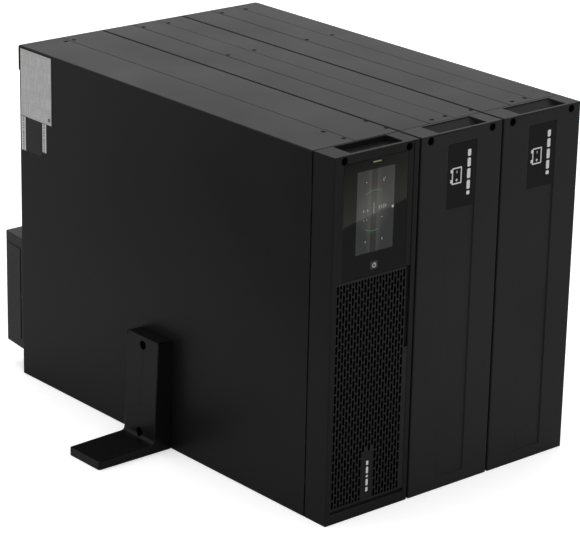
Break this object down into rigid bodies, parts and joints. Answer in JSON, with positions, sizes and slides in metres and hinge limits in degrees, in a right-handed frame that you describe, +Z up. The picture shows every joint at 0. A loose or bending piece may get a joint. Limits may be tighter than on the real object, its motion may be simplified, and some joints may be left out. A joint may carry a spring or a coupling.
{
  "type": "modular power backup tower set",
  "caption": "Upright power backup set: an inverter module with display and air grille beside battery modules, joined at the rear and steadied by low outrigger feet.",
  "frame": {"origin": "centre of the footprint, on the floor", "axes": "+X to the right across the fronts, +Y from the fronts to the rear, +Z up"},
  "size_m": [0.6, 0.641, 0.438],
  "materials": {
    "steel_paint": "satin black powder coat, fine texture",
    "bezel_plastic": "fine moulded texture, black",
    "window_gloss": "polished black",
    "screen": "lit grey-green display",
    "button_plastic": "satin dark grey",
    "light_pipe": "lit pale green",
    "mark_white": "printed pale grey ink",
    "grille_plastic": "satin moulded, black",
    "filter_foam": "open black foam",
    "circuit_board": "green solder mask",
    "heatsink_metal": "extruded, bare",
    "winding": "enamelled copper",
    "capacitor_sleeve": "dark sleeve",
    "fan_plastic": "satin black",
    "terminal_plastic": "satin dark grey",
    "tray_zinc": "zinc plated sheet",
    "battery_case": "moulded grey-black",
    "socket_plastic": "satin moulded",
    "lever_plastic": "pale grey",
    "screw_steel": "black zinc",
    "bright_metal": "bright plated",
    "label_foil": "printed silver foil",
    "label_white": "white sticker",
    "label_black": "laminated black sticker"
  },
  "bodies": {
    "frame": {"ups_left_cover": "steel_paint", "ups_chassis_tray": "steel_paint", "ups_rear_panel": "steel_paint", "ups_front_bezel": "bezel_plastic", "ups_display_window": "window_gloss", "ups_lcd_module": "screen", "ups_status_light": "light_pipe", "ups_dust_filter": "filter_foam", "ups_power_board": "circuit_board", "ups_heatsink": "heatsink_metal", "ups_choke": "winding", "ups_capacitor_bank": "capacitor_sleeve", "ups_fan_frame_lower": "fan_plastic", "ups_fan_frame_upper": "fan_plastic", "ups_terminal_block": "terminal_plastic", "ups_slot_cover": "steel_paint", "ups_port_plate": "socket_plastic", "ups_battery_socket": "socket_plastic", "ups_breaker": "terminal_plastic", "ups_rating_plate": "label_foil", "battery1_left_cover": "steel_paint", "battery1_right_cover": "steel_paint", "battery1_chassis": "steel_paint", "battery1_socket": "socket_plastic", "battery1_breaker": "terminal_plastic", "battery2_left_cover": "steel_paint", "battery2_right_cover": "steel_paint", "battery2_chassis": "steel_paint", "battery2_socket": "socket_plastic", "battery2_breaker": "terminal_plastic", "stand_left": "steel_paint", "stand_screw_left_lower": "screw_steel", "stand_screw_left_upper": "screw_steel", "stand_right": "steel_paint", "stand_screw_right_lower": "screw_steel", "stand_screw_right_upper": "screw_steel", "joining_plate_upper": "steel_paint", "joining_plate_lower": "steel_paint"},
    "power_button": {"ups_power_button": "button_plastic"},
    "air_grille": {"ups_grille": "grille_plastic", "ups_grille_badge": "window_gloss"},
    "fan_rotor_lower": {"ups_fan_rotor_lower": "fan_plastic"},
    "fan_rotor_upper": {"ups_fan_rotor_upper": "fan_plastic"},
    "breaker_lever": {"ups_breaker_lever": "lever_plastic"},
    "terminal_box": {"ups_terminal_box": "steel_paint"},
    "battery1_tray_upper": {"battery1_tray_upper": "tray_zinc", "battery1_cells_upper": "battery_case"},
    "battery1_tray_lower": {"battery1_tray_lower": "tray_zinc", "battery1_cells_lower": "battery_case"},
    "battery1_bezel": {"battery1_front_bezel": "bezel_plastic", "battery1_mark_window": "window_gloss"},
    "battery1_lever": {"battery1_breaker_lever": "lever_plastic"},
    "battery2_tray_upper": {"battery2_tray_upper": "tray_zinc", "battery2_cells_upper": "battery_case"},
    "battery2_tray_lower": {"battery2_tray_lower": "tray_zinc", "battery2_cells_lower": "battery_case"},
    "battery2_bezel": {"battery2_front_bezel": "bezel_plastic", "battery2_mark_window": "window_gloss"},
    "battery2_lever": {"battery2_breaker_lever": "lever_plastic"}
  },
  "joints": [
    {"name": "power_button_press", "type": "slide", "parent": "frame", "child": "power_button", "axis": [0, 1, 0], "range_m": [0, 0.0012], "stiffness_N_per_m": 1500},
    {"name": "air_grille_pull", "type": "slide", "parent": "frame", "child": "air_grille", "axis": [0, -1, 0], "range_m": [0, 0.05]},
    {"name": "fan_lower_spin", "type": "hinge", "parent": "frame", "child": "fan_rotor_lower", "pos_m": [-0.1285, 0.2569, 0.226], "axis": [0, 1, 0], "continuous": true},
    {"name": "fan_upper_spin", "type": "hinge", "parent": "frame", "child": "fan_rotor_upper", "pos_m": [-0.1285, 0.2569, 0.308], "axis": [0, 1, 0], "continuous": true},
    {"name": "breaker_lever_flip", "type": "hinge", "parent": "frame", "child": "breaker_lever", "pos_m": [-0.0805, 0.2715, 0.3645], "axis": [1, 0, 0], "range_deg": [-50, 0]},
    {"name": "terminal_box_pull", "type": "slide", "parent": "frame", "child": "terminal_box", "axis": [0, 1, 0], "range_m": [0, 0.06]},
    {"name": "battery1_tray_upper_slide", "type": "slide", "parent": "frame", "child": "battery1_tray_upper", "axis": [0, -1, 0], "range_m": [0, 0.44]},
    {"name": "battery1_tray_lower_slide", "type": "slide", "parent": "frame", "child": "battery1_tray_lower", "axis": [0, -1, 0], "range_m": [0, 0.44]},
    {"name": "battery1_bezel_pull", "type": "slide", "parent": "frame", "child": "battery1_bezel", "axis": [0, -1, 0], "range_m": [0, 0.55]},
    {"name": "battery1_lever_flip", "type": "hinge", "parent": "frame", "child": "battery1_lever", "pos_m": [-0.0155, 0.2715, 0.3575], "axis": [1, 0, 0], "range_deg": [-50, 0]},
    {"name": "battery2_tray_upper_slide", "type": "slide", "parent": "frame", "child": "battery2_tray_upper", "axis": [0, -1, 0], "range_m": [0, 0.44]},
    {"name": "battery2_tray_lower_slide", "type": "slide", "parent": "frame", "child": "battery2_tray_lower", "axis": [0, -1, 0], "range_m": [0, 0.44]},
    {"name": "battery2_bezel_pull", "type": "slide", "parent": "frame", "child": "battery2_bezel", "axis": [0, -1, 0], "range_m": [0, 0.55]},
    {"name": "battery2_lever_flip", "type": "hinge", "parent": "frame", "child": "battery2_lever", "pos_m": [0.113, 0.2715, 0.3575], "axis": [1, 0, 0], "range_deg": [-50, 0]}
  ],
  "couplings": [
    {"joint": "battery1_tray_lower_slide", "follows": "battery1_tray_upper_slide", "ratio": 1},
    {"joint": "battery1_bezel_pull", "follows": "battery1_tray_upper_slide", "ratio": 1.25},
    {"joint": "battery2_tray_lower_slide", "follows": "battery2_tray_upper_slide", "ratio": 1},
    {"joint": "battery2_bezel_pull", "follows": "battery2_tray_upper_slide", "ratio": 1.25}
  ]
}
